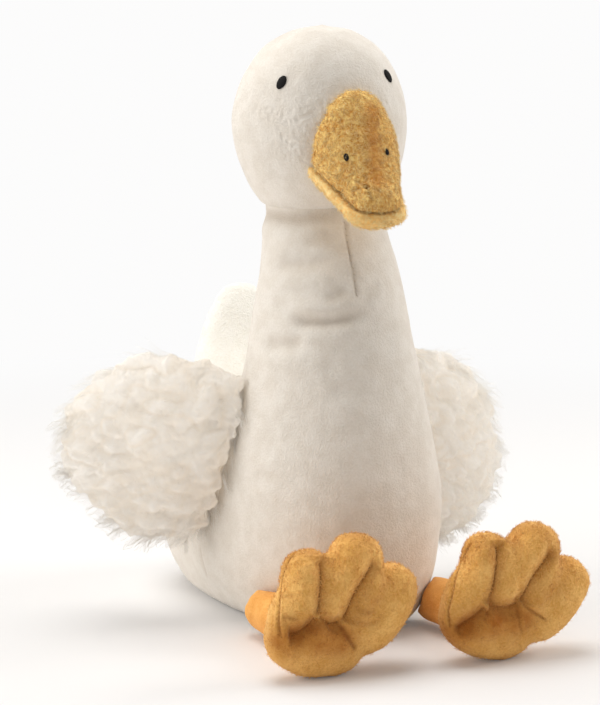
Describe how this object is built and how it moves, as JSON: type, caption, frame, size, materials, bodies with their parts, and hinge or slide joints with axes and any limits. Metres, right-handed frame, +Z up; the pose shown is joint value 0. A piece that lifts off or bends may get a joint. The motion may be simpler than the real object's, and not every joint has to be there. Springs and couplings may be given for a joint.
{
  "type": "plush goose",
  "caption": "Sitting stuffed goose with a tall tapered neck, round head, flat two-part beak, shaggy wings, pointed tail and padded webbed feet held upright in front.",
  "frame": {"origin": "on the flat seat, below the goose's chest and between its wings", "axes": "+Z up from the floor, the goose looks along -Y, +X is its left side"},
  "size_m": [0.2631, 0.2606, 0.3138],
  "materials": {
    "body": "short off-white velour",
    "head": "short off-white velour",
    "upper_beak": "short mustard plush",
    "lower_beak": "short mustard plush",
    "eye_left": "black satin stitch",
    "eye_right": "black satin stitch",
    "nostril_left": "black satin stitch",
    "nostril_right": "black satin stitch",
    "wing_left": "long shaggy cream pile",
    "wing_right": "long shaggy cream pile",
    "tail": "short cream velour",
    "leg_left": "short orange velour",
    "leg_right": "short orange velour",
    "foot_left": "short mustard plush",
    "foot_right": "short mustard plush"
  },
  "bodies": {
    "root": {"body": "body", "head": "head", "upper_beak": "upper_beak", "lower_beak": "lower_beak", "eye_left": "eye_left", "eye_right": "eye_right", "nostril_left": "nostril_left", "nostril_right": "nostril_right", "wing_left": "wing_left", "wing_right": "wing_right", "tail": "tail", "leg_left": "leg_left", "leg_right": "leg_right", "foot_left": "foot_left", "foot_right": "foot_right"}
  },
  "joints": []
}
